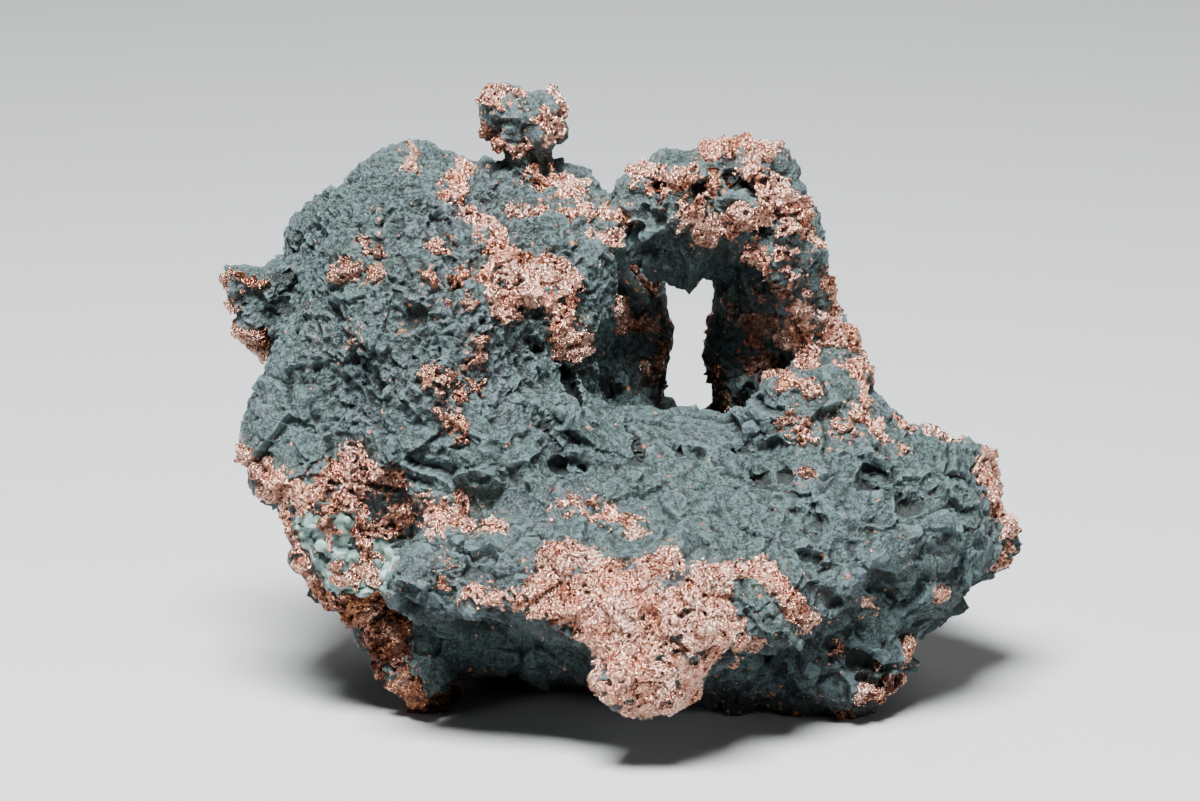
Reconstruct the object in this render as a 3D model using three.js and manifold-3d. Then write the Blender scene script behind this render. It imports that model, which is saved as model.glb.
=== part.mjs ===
// A native copper nugget: one lump of altered, chloritic rock shot through with native copper,
// with a through-going eye under an arch, a knob on its crown and a ragged copper leg.
// Millimetres, +Z up, front towards -Y. It stands on z = 0 and its box is centred on the Z axis.

import * as THREE from "three";
import { ImprovedNoise } from "three/addons/math/ImprovedNoise.js";
import { mergeVertices } from "three/addons/utils/BufferGeometryUtils.js";
import Module from "manifold-3d";

// Driving dimensions.
const CELL = 1.6; // edge of a cell of the sampling grid
const REACH = { low: [-33, -16, -3], high: [33, 32, 50] }; // the block of space that holds the nugget
const PINCH_FILL = 0.3; // how deep a filled pinch lies under the surface
const FOOT_CUT = 0; // everything below this height is worn away into the flats that it stands on
const CRAG = { height: 1.3, width: 9, seed: 3.7 }; // large, rounded swells of the surface
const CHIP = { height: 0.6, width: 4, seed: 11.3 }; // the chips and nicks between them
const GROUND = { side: 200, depth: 40 }; // the block of ground that the feet are worn down to

// Each lobe is an ellipsoid: its middle, its half sizes, its turn about X, Y and Z in degrees,
// and how softly it grows into its neighbours.
const lobes = [
  // the big domed shoulder on the left
  { at: [-13.5, 14, 27.5], half: [12.6, 13, 12.3], turn: [0, 0, 0], blend: 2.5 },
  { at: [-17, 14, 35], half: [7, 8, 6], turn: [0, -20, 0], blend: 1.6 },
  { at: [-21.8, 9.5, 20], half: [6.6, 8, 7.5], turn: [0, 0, 0], blend: 3 },
  { at: [-4.3, 14, 31.2], half: [4.6, 8, 8], turn: [0, 10, 0], blend: 2 },
  { at: [-14, 12, 37.6], half: [4, 5, 2.2], turn: [0, 0, 0], blend: 2 },
  { at: [-10, 4, 20], half: [9, 6, 6], turn: [30, 0, 0], blend: 3 },
  // the body below it, with the shelf that slopes down to the front
  { at: [1, 2.4, 13.3], half: [18.5, 13.6, 6.2], turn: [23, 0, 0], blend: 3 },
  { at: [0, 10, 8], half: [20, 12, 7.6], turn: [0, 0, 0], blend: 3 },
  { at: [-2, 6.2, 4.2], half: [13, 6.5, 3.8], turn: [0, 0, 0], blend: 2 },
  { at: [8, 4, 4.2], half: [10, 6, 3.8], turn: [0, 0, 0], blend: 2 },
  { at: [-8, -4, 12], half: [9, 5, 3.6], turn: [10, 5, 0], blend: 2 },
  { at: [3.1, -9, 10.2], half: [5.5, 4.2, 4.6], turn: [0, 0, 0], blend: 0.9 },
  { at: [1.5, -9, 7.9], half: [3.9, 3.9, 4.1], turn: [0, 0, 0], blend: 0.9 },
  // the right-hand mass
  { at: [17.5, 8, 13], half: [9.2, 10, 9], turn: [0, 0, 0], blend: 2.5 },
  { at: [14.6, 9, 20.3], half: [5.6, 6, 4.8], turn: [0, 15, 0], blend: 1.6 },
  { at: [23, 10, 12], half: [4.6, 8, 6], turn: [0, 0, 0], blend: 2 },
  { at: [16.5, 4.5, 5], half: [6.4, 6, 6], turn: [0, 0, 0], blend: 2 },
  { at: [27.7, 12, 14.3], half: [1.7, 3, 6.3], turn: [0, -35, 0], blend: 0.8 },
  { at: [27.2, 11, 9.8], half: [2.4, 3, 2.8], turn: [0, 0, 0], blend: 1.5 },
  // the copper leg on the left and the pale patch above it
  { at: [-20.5, 5, 12.5], half: [4.6, 5, 5.5], turn: [0, -25, 0], blend: 2 },
  { at: [-18, 3, 6.5], half: [2.6, 2.8, 4.5], turn: [0, -30, 0], blend: 1.2 },
  { at: [-15, 2, 1.8], half: [2.8, 2.6, 2.6], turn: [0, 0, 0], blend: 1.2 },
  // the knob on the crown, and its neck
  { at: [-7.6, 15, 42.6], half: [3.6, 3.1, 2.6], turn: [0, 0, 0], blend: 0.4 },
  { at: [-6.8, 15, 39.4], half: [1.8, 2, 2], turn: [0, 0, 0], blend: 0.6 },
  // knobs on the left flank
  { at: [-28, 16, 29.2], half: [2.9, 3, 2.4], turn: [0, 0, 0], blend: 0.6 },
  { at: [-28, 16, 26.4], half: [1.9, 2.2, 2.6], turn: [0, 0, 0], blend: 0.6 },
  { at: [-24.2, 20, 33.2], half: [1.7, 2.6, 1.6], turn: [0, 0, 0], blend: 0.5 },
  // the arch, from its tip beside the dome to its foot on the right
  { at: [1.1, 13, 37.7], half: [2.2, 2.6, 2.3], turn: [0, 0, 0], blend: 0.5 },
  { at: [3.4, 13, 37.2], half: [3.1, 4, 4.6], turn: [0, 10, 0], blend: 0.8 },
  { at: [3.9, 15.5, 32.4], half: [3, 4, 2.6], turn: [0, 0, 0], blend: 1 },
  { at: [8.3, 13, 38], half: [5, 4, 4], turn: [0, 0, 0], blend: 1.5 },
  { at: [11.8, 13, 34], half: [3.3, 4, 5], turn: [0, -20, 0], blend: 1.5 },
  { at: [13.4, 14, 29], half: [2.2, 3.4, 4.6], turn: [0, -15, 0], blend: 1.5 },
  { at: [16.2, 13.5, 25.4], half: [1.8, 2.4, 2.6], turn: [0, -35, 0], blend: 1 },
  // the wall behind the arch and the mass behind the eye
  { at: [9.8, 19.5, 29], half: [3.3, 4, 7], turn: [0, -8, 0], blend: 1.5 },
  { at: [9, 18.5, 35], half: [4.2, 4.5, 3.6], turn: [0, 0, 0], blend: 2 },
  { at: [13, 18, 26], half: [3.4, 3.6, 6.5], turn: [0, -18, 0], blend: 2 },
  { at: [10.2, 19, 22], half: [3.2, 4.5, 5], turn: [0, 0, 0], blend: 2 },
  { at: [0.2, 21, 25.5], half: [3.2, 4.5, 6], turn: [0, 0, 0], blend: 1.5 },
  // the back: a ridge down the left, a slab across the foot and knuckles between them
  { at: [-10, 21, 18], half: [12, 8, 15], turn: [0, 0, 0], blend: 4 },
  { at: [-9, 20, 3], half: [6, 5.5, 4.2], turn: [0, 0, 0], blend: 2 },
  { at: [11, 22, 3.4], half: [4.5, 4.5, 4], turn: [0, 0, 0], blend: 2 },
  { at: [12, 20, 10], half: [13, 7, 8], turn: [0, 0, 0], blend: 3 },
  { at: [-14, 25, 27], half: [5, 4, 8], turn: [0, 25, 0], blend: 1.5 },
  { at: [-3, 26.5, 15], half: [7, 3.5, 5], turn: [0, -20, 0], blend: 1.5 },
  { at: [14, 25.5, 12], half: [6, 3.6, 4], turn: [0, 15, 0], blend: 1.5 },
  { at: [-17, 25, 12], half: [5, 4, 5], turn: [0, 0, 0], blend: 1.5 },
  { at: [4, 25.5, 6], half: [6, 3.5, 3.5], turn: [0, 0, 0], blend: 1.5 },
];

// Hollows are ellipsoids taken away, with the same fields.
const hollows = [
  // under the shelf, on both sides of the front lump
  { at: [-8.5, -7.5, 4], half: [8.6, 7.6, 6], turn: [0, 0, 0], blend: 1.5 },
  { at: [10, -5.5, 2], half: [6, 5.5, 4.5], turn: [0, 0, 0], blend: 1.5 },
  // the eye: its front, its way through, and the wider foot of that
  { at: [4.6, 8, 26], half: [3.4, 9, 4.6], turn: [0, 0, 0], blend: 0.8 },
  { at: [5.1, 20, 23.2], half: [1.6, 14, 4.8], turn: [-14, 0, 0], blend: 0.6 },
  { at: [5.6, 21, 19.8], half: [3.2, 10, 2], turn: [-13, 0, 0], blend: 0.6 },
  // the notch between the dome and the arch, and the cave under the arch's front rim
  { at: [-1.9, 12, 41.4], half: [1, 9, 4.2], turn: [0, -14, 0], blend: 0.5 },
  { at: [9.2, 11.5, 31], half: [4, 4.6, 2.5], turn: [0, 0, 0], blend: 0.8 },
  // clefts down the back and under its right foot
  { at: [-4, 27, 27], half: [4, 4, 7], turn: [0, -20, 0], blend: 1.5 },
  { at: [-24, 24, 20], half: [3.4, 4, 6], turn: [0, 20, 0], blend: 1.5 },
  { at: [22, 21, 4], half: [6, 4, 3], turn: [0, 0, 0], blend: 1.5 },
];

const perlin = new ImprovedNoise();
for (const lobe of [...lobes, ...hollows]) {
  const [x, y, z] = lobe.turn.map(THREE.MathUtils.degToRad);
  lobe.middle = new THREE.Vector3(...lobe.at);
  lobe.radii = new THREE.Vector3(...lobe.half);
  lobe.unturn = new THREE.Quaternion().setFromEuler(new THREE.Euler(x, y, z)).invert();
}

// Signed distance to one ellipsoid, close enough near its surface.
function ellipsoid(point, lobe) {
  const p = point.clone().sub(lobe.middle).applyQuaternion(lobe.unturn).divide(lobe.radii);
  const near = p.length();
  const steep = p.divide(lobe.radii).length();
  return steep > 0 ? (near * (near - 1)) / steep : -Math.min(...lobe.half);
}

// Smooth minimum: joins two distances with a fillet about `soft` wide.
function merge(a, b, soft) {
  const h = Math.max(soft - Math.abs(a - b), 0) / soft;
  return Math.min(a, b) - h * h * soft * 0.25;
}

// Noise that pushes the surface in and out by up to about `height` over a distance of `width`.
function swell(p, { height, width, seed }) {
  return height * perlin.noise(p.x / width + seed, p.y / width - seed, p.z / width + 2 * seed);
}

// Distance from a point to the nugget's surface, negative inside.
function nuggetField(point) {
  let distance = Infinity;
  for (const lobe of lobes) {
    const d = ellipsoid(point, lobe);
    distance = distance === Infinity ? d : merge(distance, d, lobe.blend);
  }
  for (const hollow of hollows) {
    distance = -merge(-distance, ellipsoid(point, hollow), hollow.blend);
  }
  return distance + swell(point, CRAG) + swell(point, CHIP);
}

// Closes pinches in a grid of distances: in a square of the grid with solid at two opposite
// corners only, the nearer empty corner is filled, so that two skins never share an edge.
function fillPinches(samples, count, at) {
  const step = [1, count[0], count[0] * count[1]];
  let filled = 1;
  while (filled > 0) {
    filled = 0;
    for (let k = 0; k < count[2] - 1; k++)
      for (let j = 0; j < count[1] - 1; j++)
        for (let i = 0; i < count[0] - 1; i++)
          for (const [u, v] of [[0, 1], [1, 2], [2, 0]]) {
            const here = at(i, j, k);
            const pair = [here, here + step[u] + step[v]];
            const other = [here + step[u], here + step[v]];
            const solid = [...pair, ...other].map((corner) => samples[corner] < 0);
            if (solid[0] !== solid[1] || solid[2] !== solid[3] || solid[0] === solid[2]) continue;
            const empty = solid[0] ? other : pair;
            const nearer = samples[empty[0]] < samples[empty[1]] ? empty[0] : empty[1];
            samples[nearer] = -PINCH_FILL;
            filled++;
          }
  }
}

// Walks a grid over the field and returns the closed surface where it is zero (surface nets):
// one vertex in each cell that the surface crosses, and two triangles across each crossed edge.
function surfaceNet(field, { low, high }, cell) {
  const count = low.map((value, axis) => Math.ceil((high[axis] - value) / cell) + 1);
  const at = (i, j, k) => (k * count[1] + j) * count[0] + i;
  const samples = new Float32Array(count[0] * count[1] * count[2]);
  const point = new THREE.Vector3();
  for (let k = 0; k < count[2]; k++)
    for (let j = 0; j < count[1]; j++)
      for (let i = 0; i < count[0]; i++) {
        point.set(low[0] + i * cell, low[1] + j * cell, low[2] + k * cell);
        samples[at(i, j, k)] = field(point);
      }
  fillPinches(samples, count, at);

  const vertices = [];
  const vertexOf = new Map();
  const corners = [0, 1, 2, 3, 4, 5, 6, 7].map((c) => [c & 1, (c >> 1) & 1, (c >> 2) & 1]);
  const edges = [];
  for (let a = 0; a < 8; a++)
    for (const bit of [1, 2, 4]) {
      if (!(a & bit)) edges.push([a, a | bit]);
    }
  for (let k = 0; k < count[2] - 1; k++)
    for (let j = 0; j < count[1] - 1; j++)
      for (let i = 0; i < count[0] - 1; i++) {
        const value = corners.map(([x, y, z]) => samples[at(i + x, j + y, k + z)]);
        const middle = new THREE.Vector3();
        let crossings = 0;
        for (const [a, b] of edges) {
          if (value[a] < 0 === value[b] < 0) continue;
          const share = value[a] / (value[a] - value[b]);
          const start = new THREE.Vector3(...corners[a]);
          middle.add(start.lerp(new THREE.Vector3(...corners[b]), share));
          crossings++;
        }
        if (!crossings) continue;
        middle.divideScalar(crossings).add(new THREE.Vector3(i, j, k)).multiplyScalar(cell);
        vertexOf.set(at(i, j, k), vertices.length / 3);
        vertices.push(middle.x + low[0], middle.y + low[1], middle.z + low[2]);
      }

  const triangles = [];
  const step = [1, count[0], count[0] * count[1]];
  for (let k = 1; k < count[2] - 1; k++)
    for (let j = 1; j < count[1] - 1; j++)
      for (let i = 1; i < count[0] - 1; i++)
        for (let axis = 0; axis < 3; axis++) {
          const here = at(i, j, k);
          const inside = samples[here] < 0;
          if (inside === samples[here + step[axis]] < 0) continue;
          const [u, v] = [step[(axis + 1) % 3], step[(axis + 2) % 3]];
          const ring = [here - u - v, here - v, here, here - u].map((cellAt) => vertexOf.get(cellAt));
          if (!inside) ring.reverse();
          triangles.push(ring[0], ring[1], ring[2], ring[0], ring[2], ring[3]);
        }

  const geometry = new THREE.BufferGeometry();
  geometry.setAttribute("position", new THREE.Float32BufferAttribute(vertices, 3));
  geometry.setIndex(triangles);
  return geometry;
}

// A three.js geometry as a solid that can be cut, and back again.
function toSolid(wasm, geometry) {
  const bare = new THREE.BufferGeometry();
  bare.setAttribute("position", geometry.getAttribute("position"));
  bare.setIndex(geometry.getIndex());
  const merged = mergeVertices(bare, 1e-4);
  return new wasm.Manifold(
    new wasm.Mesh({
      numProp: 3,
      vertProperties: merged.getAttribute("position").array,
      triVerts: new Uint32Array(merged.getIndex().array),
    }),
  );
}

function toGeometry(solid) {
  const mesh = solid.getMesh();
  const geometry = new THREE.BufferGeometry();
  geometry.setAttribute("position", new THREE.BufferAttribute(mesh.vertProperties, 3));
  geometry.setIndex(new THREE.BufferAttribute(mesh.triVerts, 1));
  return geometry;
}

const wasm = await Module();
wasm.setup();

const lump = toSolid(wasm, surfaceNet(nuggetField, REACH, CELL));
const ground = new THREE.BoxGeometry(GROUND.side, GROUND.side, GROUND.depth);
ground.translate(0, 0, FOOT_CUT - GROUND.depth / 2);
const geometry = toGeometry(lump.subtract(toSolid(wasm, ground)));

geometry.computeBoundingBox();
const centre = geometry.boundingBox.getCenter(new THREE.Vector3());
geometry.translate(-centre.x, -centre.y, 0);
geometry.computeVertexNormals();

const rock = new THREE.MeshStandardMaterial({ color: 0x6f8583, roughness: 0.9, metalness: 0 });
const nugget = new THREE.Mesh(geometry, rock);
nugget.name = "nugget";

const root = new THREE.Group();
root.add(nugget);
export default root;
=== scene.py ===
import math

import bpy
import numpy as np
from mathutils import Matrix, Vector
from mathutils.bvhtree import BVHTree


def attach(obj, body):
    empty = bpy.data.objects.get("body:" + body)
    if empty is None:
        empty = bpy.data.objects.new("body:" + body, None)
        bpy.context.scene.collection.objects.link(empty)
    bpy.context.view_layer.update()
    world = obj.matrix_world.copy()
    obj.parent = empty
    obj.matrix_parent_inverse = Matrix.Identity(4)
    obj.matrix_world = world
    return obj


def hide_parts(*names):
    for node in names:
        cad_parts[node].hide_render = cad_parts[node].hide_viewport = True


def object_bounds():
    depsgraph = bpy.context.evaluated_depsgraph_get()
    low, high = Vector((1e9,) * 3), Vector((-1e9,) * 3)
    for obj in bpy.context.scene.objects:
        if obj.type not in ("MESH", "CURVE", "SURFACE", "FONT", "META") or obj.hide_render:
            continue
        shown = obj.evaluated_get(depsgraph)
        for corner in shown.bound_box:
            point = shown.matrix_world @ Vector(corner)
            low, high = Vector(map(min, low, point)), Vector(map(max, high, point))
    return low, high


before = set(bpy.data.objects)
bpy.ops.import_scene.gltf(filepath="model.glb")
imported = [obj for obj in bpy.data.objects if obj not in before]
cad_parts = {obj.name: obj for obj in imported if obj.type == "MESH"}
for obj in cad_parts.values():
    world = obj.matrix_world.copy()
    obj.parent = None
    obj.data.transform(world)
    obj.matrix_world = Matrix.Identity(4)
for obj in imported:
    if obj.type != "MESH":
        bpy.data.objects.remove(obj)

# The nugget: one lump of dark green-grey host rock with native copper grown through it and over it.
# Shapes are worked out in millimetres and turned into metres when a mesh is made.

MM = 0.001
CAD_LOW, CAD_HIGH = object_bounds()
MIDDLE = (np.array(CAD_LOW) + np.array(CAD_HIGH)) / 2 / MM

# --- Viewing line -------------------------------------------------------------------------------

VIEW_TILT = math.radians(15)
VIEW_DISTANCE = 380.0
LENS = 152.0
SENSOR = 36.0
AIM = MIDDLE + np.array((-2.11, -3.97, 1.03))
AHEAD = np.array((0.0, math.cos(VIEW_TILT), -math.sin(VIEW_TILT)))
ACROSS = np.array((1.0, 0.0, 0.0))
UPWARD = np.cross(ACROSS, AHEAD)
EYE = AIM - AHEAD * VIEW_DISTANCE

# --- Surface steps ------------------------------------------------------------------------------

STEP = 0.35            # size of the first even mesh laid over the CAD shape
SOFTENING = 14         # easing turns that round off the CAD facets
ROCK_TRIANGLES = 195000
BACK_TRIANGLES = 115000    # for each of the two crusts that lie out of the front's sight
CRUST_REACH = 0.8      # how far past its strokes a crust may grow
RIM_DEPTH = 0.35       # how deep a crust's edge is sunk in the rock
BACK_DEPTH = 0.9       # how deep a crust's back lies under the rock's surface
OPEN_REACH = 14.0      # how far a free line counts when a pocket's darkness is judged
SHUT_FROM = 0.78       # the openness under which a place starts to look shut in
SHUT_SPAN = 0.45       # how much further it falls until the place is fully shut in

# --- Noise --------------------------------------------------------------------------------------

BLOCK_REACH = 0.9      # half the side of the largest block, in lattice cells


def shuffled(seed):
    """A table of 256 places in random order, and a random direction for each."""
    dice = np.random.default_rng(seed)
    ways = dice.normal(size=(256, 3))
    ways /= np.linalg.norm(ways, axis=1)[:, None]
    return dice.permutation(256), ways.astype(np.float32), dice


def looked_up(table, cell):
    """One entry of the table for each lattice cell."""
    first = table[cell[:, 0] & 255]
    second = table[(first + cell[:, 1]) & 255]
    return table[(second + cell[:, 2]) & 255]


def swell(points, size, seed):
    """Smooth noise from about -1 to 1, with waves of the given size."""
    table, ways, _ = shuffled(seed)
    place = (points / size).astype(np.float32)
    cell = np.floor(place).astype(np.int64)
    part = place - cell.astype(np.float32)
    fade = part ** 3 * (part * (part * 6 - 15) + 10)
    total = np.zeros(len(points), np.float32)
    for corner in np.ndindex(2, 2, 2):
        corner = np.array(corner)
        way = ways[looked_up(table, cell + corner)]
        lean = ((part - corner.astype(np.float32)) * way).sum(1)
        share = np.where(corner, fade, 1 - fade).prod(1)
        total += lean * share
    return total * 1.7


def layered(points, size, seed, layers, fall=0.5):
    """Swells of halving size and falling height laid on each other."""
    return sum(swell(points, size / 2 ** k, seed + k) * fall ** k for k in range(layers))


def ridged(points, size, seed, layers):
    """Sharp crests with rounded troughs between them, from about -1 to 1."""
    waves = [1 - 3 * np.abs(swell(points, size / 2 ** k, seed + k)) for k in range(layers)]
    return sum(np.clip(wave, -1, 1) * 0.5 ** k for k, wave in enumerate(waves))


def cells_round(points, size, table, shift):
    """For each of the 27 lattice cells round the points: its entry, and the way from its seed."""
    place = (points / size).astype(np.float32)
    cell = np.floor(place).astype(np.int64)
    for step in np.ndindex(3, 3, 3):
        at = cell + np.array(step) - 1
        pick = looked_up(table, at)
        yield pick, place - at.astype(np.float32) - shift[pick]


def blocks(points, size, seed):
    """Height from 0 to 1 of a heap of turned blocks, one in each lattice cell, with sharp edges."""
    table, _, dice = shuffled(seed)
    turns = np.linalg.qr(dice.normal(size=(256, 3, 3)))[0].astype(np.float32)
    shift = dice.random((256, 3)).astype(np.float32)
    reach = dice.uniform(0.55, BLOCK_REACH, 256).astype(np.float32)
    best = np.zeros(len(points), np.float32)
    for pick, gap in cells_round(points, size, table, shift):
        along = np.abs(np.einsum("nij,nj->ni", turns[pick], gap)).max(1)
        np.maximum(best, reach[pick] - along, out=best)
    return best / BLOCK_REACH


def warped(points, size, seed, amount):
    """The points shifted by smooth noise, so that what is laid over them has uneven outlines."""
    shift = [swell(points, size, seed + 40 * way) for way in range(3)]
    return points + np.stack(shift, 1) * amount


def facets(points, size, seed):
    """Height from about -1 to 1 of a broken face: flat chips that lean each way, with steps."""
    table, ways, dice = shuffled(seed)
    shift = dice.random((256, 3)).astype(np.float32)
    level = dice.uniform(-0.5, 0.5, 256).astype(np.float32)
    nearest = np.full(len(points), np.inf, np.float32)
    height = np.zeros(len(points), np.float32)
    for pick, gap in cells_round(points, size, table, shift):
        far = (gap * gap).sum(1)
        closer = far < nearest
        height = np.where(closer, level[pick] + (gap * ways[pick]).sum(1), height)
        nearest = np.where(closer, far, nearest)
    return height


def pores(points, size, seed, share):
    """Depth from 0 to 1 of round pits, in the given share of the lattice cells."""
    table, _, dice = shuffled(seed)
    shift = dice.random((256, 3)).astype(np.float32)
    wide = dice.uniform(0.18, 0.5, 256).astype(np.float32)
    wide[dice.random(256) > share] = 0.01
    deep = np.zeros(len(points), np.float32)
    for pick, gap in cells_round(points, size, table, shift):
        near = np.sqrt((gap * gap).sum(1)) / wide[pick]
        np.maximum(deep, 1 - near, out=deep)
    return smoothed(deep / 0.6)


def smoothed(value):
    """Clamps to 0..1 and eases both ends."""
    value = np.clip(value, 0, 1)
    return value * value * (3 - 2 * value)


# --- Meshes as arrays ---------------------------------------------------------------------------


def even_skin():
    """An even quad mesh over the CAD nugget: points in mm, and quads."""
    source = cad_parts["nugget"].data
    raw = bpy.data.meshes.new("skin_start")
    points = np.zeros(len(source.vertices) * 3, np.float32)
    source.vertices.foreach_get("co", points)
    faces = [tuple(face.vertices) for face in source.polygons]
    raw.from_pydata((points.reshape(-1, 3) / MM).tolist(), [], faces)
    holder = bpy.data.objects.new("skin_start", raw)
    bpy.context.scene.collection.objects.link(holder)
    weld = holder.modifiers.new("weld", "WELD")
    weld.merge_threshold = 0.001
    remesh = holder.modifiers.new("even", "REMESH")
    remesh.mode = "VOXEL"
    remesh.voxel_size = STEP
    made = holder.evaluated_get(bpy.context.evaluated_depsgraph_get()).to_mesh()
    points = np.zeros(len(made.vertices) * 3, np.float32)
    made.vertices.foreach_get("co", points)
    quads = np.zeros(len(made.polygons) * 4, np.int32)
    made.polygons.foreach_get("vertices", quads)
    bpy.data.objects.remove(holder)
    bpy.data.meshes.remove(raw)
    return points.reshape(-1, 3).astype(float), quads.reshape(-1, 4).astype(np.int64)


def neighbours_mean(values, quads):
    """The mean of each point's neighbours' values."""
    start = quads.ravel()
    end = np.roll(quads, -1, 1).ravel()
    count = np.bincount(start, minlength=len(values)).clip(1)
    sums = [np.bincount(start, values[end, k], len(values)) for k in range(values.shape[1])]
    return np.stack(sums, 1) / count[:, None]


def relaxed(values, quads, turns, pull=0.5):
    """Each point drawn towards its neighbours, turn by turn, which also shrinks what is thin."""
    for _ in range(turns):
        values = values + (neighbours_mean(values, quads) - values) * pull
    return values


def eased(points, quads, turns):
    """Relaxed without shrinking: each turn in is followed by a turn out."""
    for _ in range(turns):
        points = relaxed(points, quads, 1, 0.6)
        points = relaxed(points, quads, 1, -0.62)
    return points


def normals_of(points, quads):
    """A unit normal at each point."""
    a, b, c, d = (points[quads[:, k]] for k in range(4))
    flat = np.cross(c - a, d - b)
    spread = np.repeat(flat, 4, axis=0)
    corner = quads.ravel()
    total = np.stack([np.bincount(corner, spread[:, k], len(points)) for k in range(3)], 1)
    return total / np.linalg.norm(total, axis=1).clip(1e-9)[:, None]


def split(values, quads):
    """Each quad in four, with the new points' values halfway between the old ones.

    Also gives the number of the new point on each quad's sides.
    """
    count = len(values)
    ends = np.stack([quads, np.roll(quads, -1, 1)], 2).reshape(-1, 2)
    ends.sort(axis=1)
    edges, index = np.unique(ends[:, 0] * count + ends[:, 1], return_inverse=True)
    halves = (values[edges // count] + values[edges % count]) / 2
    centres = values[quads].mean(1)
    half = index.reshape(-1, 4) + count
    centre = np.arange(len(quads)) + count + len(edges)
    parts = [np.stack([quads[:, k], half[:, k], centre, half[:, k - 1]], 1) for k in range(4)]
    return np.vstack([values, halves, centres]), np.vstack(parts), half


def part_of(values, quads, wanted):
    """Only the quads with a wanted point, and the points they use."""
    kept = quads[wanted[quads].any(1)]
    used, index = np.unique(kept, return_inverse=True)
    return values[used], index.reshape(-1, 4)


def open_sides(quads):
    """Start, end and a mask of the quads' sides that have no quad beyond them."""
    start = quads.ravel()
    end = np.roll(quads, -1, 1).ravel()
    count = int(quads.max()) + 1
    alone = ~np.isin(start * count + end, end * count + start)
    return start[alone], end[alone], alone


def mesh_object(name, points, faces, material, tones=None, smooth=True):
    """A Blender object of the points (mm) and lists of faces, with an attribute for each tone."""
    mesh = bpy.data.meshes.new(name)
    mesh.vertices.add(len(points))
    mesh.vertices.foreach_set("co", (points * MM).astype(np.float32).ravel())
    corners = np.concatenate([part.ravel() for part in faces]).astype(np.int32)
    sizes = np.concatenate([np.full(len(part), part.shape[1]) for part in faces])
    mesh.loops.add(len(corners))
    mesh.loops.foreach_set("vertex_index", corners)
    mesh.polygons.add(len(sizes))
    starts = np.concatenate([[0], np.cumsum(sizes)[:-1]]).astype(np.int32)
    mesh.polygons.foreach_set("loop_start", starts)
    mesh.update(calc_edges=True)
    mesh.validate()
    for key, values in (tones or {}).items():
        layer = mesh.attributes.new(key, "FLOAT", "POINT")
        layer.data.foreach_set("value", values.astype(np.float32))
    mesh.polygons.foreach_set("use_smooth", np.full(len(mesh.polygons), smooth))
    mesh.materials.append(material)
    made = bpy.data.objects.new(name, mesh)
    bpy.context.scene.collection.objects.link(made)
    return made


def thinned(piece, triangles):
    """Fewer triangles where the surface is flattest, to about the given count, none underground."""
    have = len(piece.data.loops) - 2 * len(piece.data.polygons)
    if have <= triangles:
        return
    fewer = piece.modifiers.new("fewer", "DECIMATE")
    fewer.ratio = triangles / have
    depsgraph = bpy.context.evaluated_depsgraph_get()
    made = bpy.data.meshes.new_from_object(
        piece.evaluated_get(depsgraph), preserve_all_data_layers=True, depsgraph=depsgraph)
    piece.modifiers.clear()
    old = piece.data
    piece.data = made
    bpy.data.meshes.remove(old)
    made.name = piece.name
    spots = np.zeros(len(made.vertices) * 3, np.float32)
    made.vertices.foreach_get("co", spots)
    spots[2::3] = np.maximum(spots[2::3], 0)
    made.vertices.foreach_set("co", spots)


def openness(points, normals, tree):
    """How much of the space before each point is free of rock and ground, from 0 to 1."""
    around = np.array([(0, 0, 1), (0.8, 0, 0.6), (0.25, 0.76, 0.6), (-0.65, 0.47, 0.6),
                       (-0.65, -0.47, 0.6), (0.25, -0.76, 0.6)])
    side = np.cross(normals, (0.3, 0.5, 0.81))
    side /= np.linalg.norm(side, axis=1).clip(1e-6)[:, None]
    third = np.cross(normals, side)
    starts = (points + normals * 0.6).tolist()
    free = np.zeros(len(points))
    for a, b, c in around:
        ways = side * a + third * b + normals * c
        rays = zip(starts, ways.tolist())
        hits = [tree.ray_cast(start, way, OPEN_REACH)[3] for start, way in rays]
        rock = np.array([OPEN_REACH if far is None else far for far in hits])
        fall = np.maximum(-ways[:, 2], 1e-3)
        ground = np.where(ways[:, 2] < 0, points[:, 2] / fall, OPEN_REACH)
        free += np.minimum(rock, ground).clip(0, OPEN_REACH) / OPEN_REACH
    return free / len(around)


# --- Rock surface -------------------------------------------------------------------------------

# Plates run down to the right and to the front, and face up to the right: the first way is along
# them, the second is through them, where they are thinnest.
SHEAR = np.linalg.qr(np.array([(0.7, -0.45, -0.55), (0.6, 0.2, 0.75), (0.1, 1.0, 0.2)]).T)[0]
SHEAR = SHEAR * (0.4, 1.5, 0.75)
# The way through the eye, from its front to its back.
THROAT = np.array(((4.3, -2.0, 25.8), (4.7, 24.0, 21.8)))
THROAT_REACH = 5.5
DOME = np.array((-13.9, 5.0, 27.5))
DOME_REACH = 17.0


def dome_share(points):
    """1 on the rough dome at the upper left, 0 elsewhere."""
    return smoothed((DOME_REACH - np.linalg.norm(points - DOME, axis=1)) / 5)


def throat_share(points):
    """1 on the walls of the way through the eye, 0 elsewhere."""
    start, end = THROAT
    along = np.clip((points - start) @ (end - start) / ((end - start) ** 2).sum(), 0, 1)
    nearest = start + along[:, None] * (end - start)
    return smoothed((THROAT_REACH - np.linalg.norm(points - nearest, axis=1)) / 1.5)


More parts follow.
